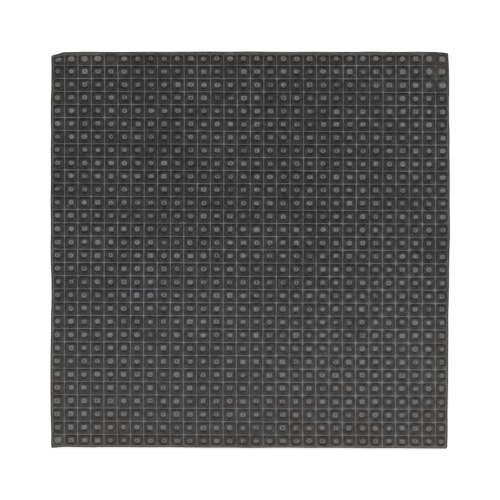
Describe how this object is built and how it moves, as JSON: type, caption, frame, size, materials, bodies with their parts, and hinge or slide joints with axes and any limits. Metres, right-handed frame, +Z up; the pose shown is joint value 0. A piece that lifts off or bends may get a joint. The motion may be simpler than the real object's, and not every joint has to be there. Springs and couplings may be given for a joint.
{
  "type": "seedling heat mat",
  "caption": "Square rubber heat mat with a ribbed, nubbed top that seed trays stand on, and a recessed socket for its lead in one edge.",
  "frame": {"origin": "centre of the underside, on the surface the mat lies on", "axes": "+Z up out of the nubs; +X to the right and +Y to the back, with the socket in the front edge"},
  "size_m": [0.508, 0.508, 0.016],
  "materials": {
    "top_rubber": "moulded, matt, dusty on the high points",
    "base_rubber": "moulded, matt",
    "edge_rubber": "cut and bonded, matt",
    "adhesive": "cured bead",
    "socket_plastic": "moulded",
    "seal_rubber": "silicone, satin",
    "contact_plastic": "moulded",
    "pin_metal": "plated, bright",
    "lead_insulation": "extruded insulation",
    "crimp_metal": "tinned",
    "terminal_metal": "stamped",
    "cutout_plastic": "phenolic",
    "cap_metal": "drawn cap",
    "fuse_metal": "tinned can",
    "ribbon_metal": "rolled resistance alloy",
    "film": "clear amber insulating film",
    "foil": "bright foil",
    "ply": "plain woven",
    "potting_resin": "cast resin",
    "foam": "closed-cell foam"
  },
  "bodies": {
    "root": {"top_cover": "top_rubber", "bottom_cover": "base_rubber", "edge_frame": "edge_rubber", "lower_bond_bead": "adhesive", "upper_bond_bead": "adhesive", "socket_shell": "socket_plastic", "collar_seal": "seal_rubber", "contact_block": "contact_plastic", "contact_pins": "pin_metal", "neutral_lead": "lead_insulation", "link_lead": "lead_insulation", "live_lead": "lead_insulation", "crimp_sleeves": "crimp_metal", "cutout_terminals": "terminal_metal", "cutout_base": "cutout_plastic", "cutout_cap": "cap_metal", "thermal_fuse": "fuse_metal", "heating_element": "ribbon_metal", "bus_tabs": "terminal_metal", "carrier_film": "film", "cover_film": "film", "heat_spreader": "foil", "reinforcing_ply": "ply", "potting": "potting_resin", "insulation_pad": "foam"}
  },
  "joints": []
}
